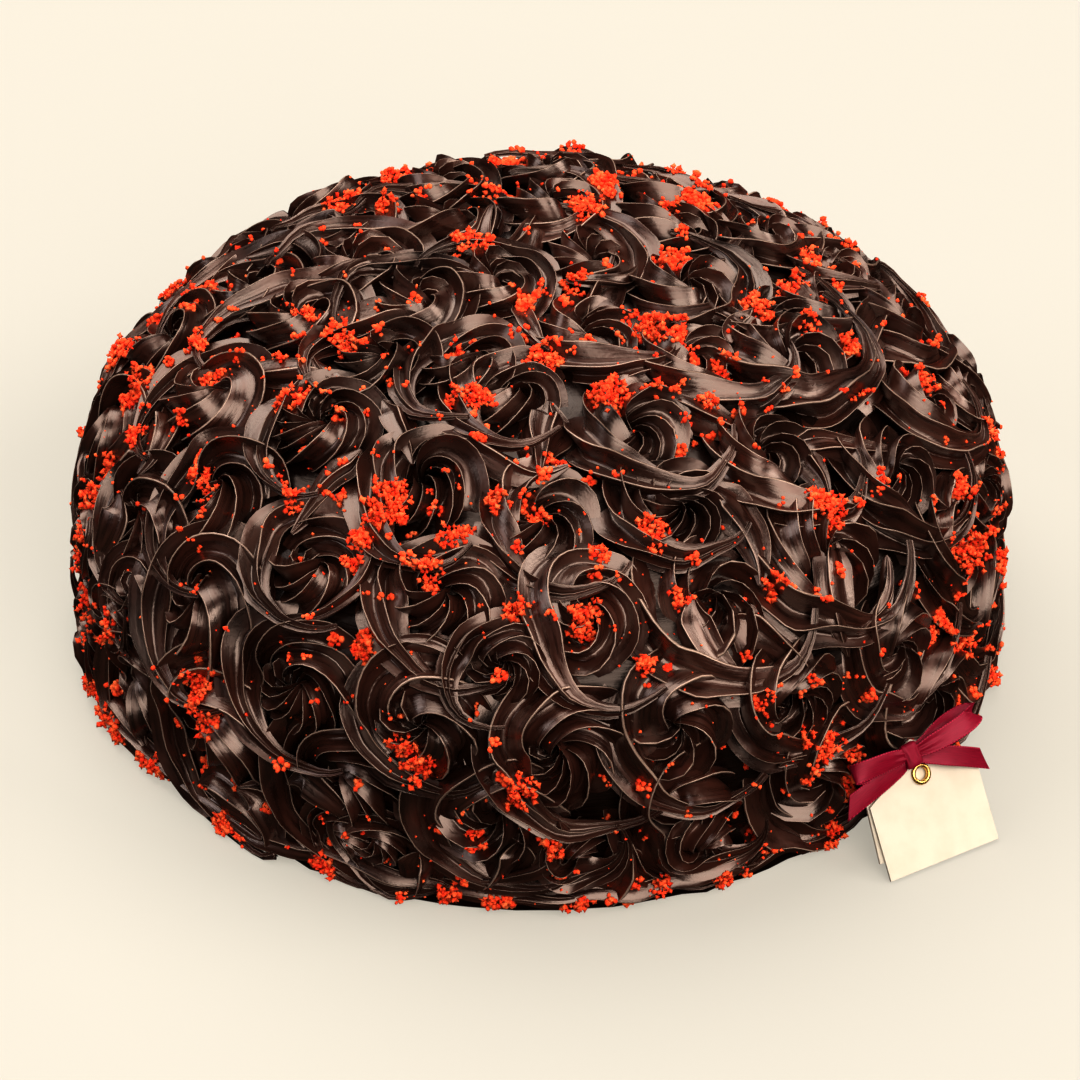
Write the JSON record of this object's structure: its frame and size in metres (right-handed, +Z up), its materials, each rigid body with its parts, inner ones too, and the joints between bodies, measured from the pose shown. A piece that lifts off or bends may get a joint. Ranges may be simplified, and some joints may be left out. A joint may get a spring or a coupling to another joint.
{
  "type": "truffle cake",
  "caption": "Round domed chocolate cake covered in piped ganache rosettes with red crumb clumps, and a blank gift tag with a ribbon bow at its foot.",
  "frame": {"origin": "centre of the cake's flat underside, which is the mount base", "axes": "+Z up through the dome, -Y towards the front, +X to the right; the tag leans at the front right"},
  "size_m": [0.2705, 0.27, 0.113],
  "materials": {
    "ganache": "dark chocolate ganache, satin with soft highlights",
    "red_crumb": "moist red cake crumb, matte with a slight sheen",
    "card": "uncoated cream card",
    "gold_trim": "polished gold-coloured metal",
    "ribbon": "burgundy satin ribbon with stitched edges"
  },
  "bodies": {
    "root": {"frosted_cake": "ganache", "tag_front_card": "card", "tag_back_card": "card", "tag_eyelet": "gold_trim", "ribbon_bow": "ribbon"}
  },
  "joints": []
}
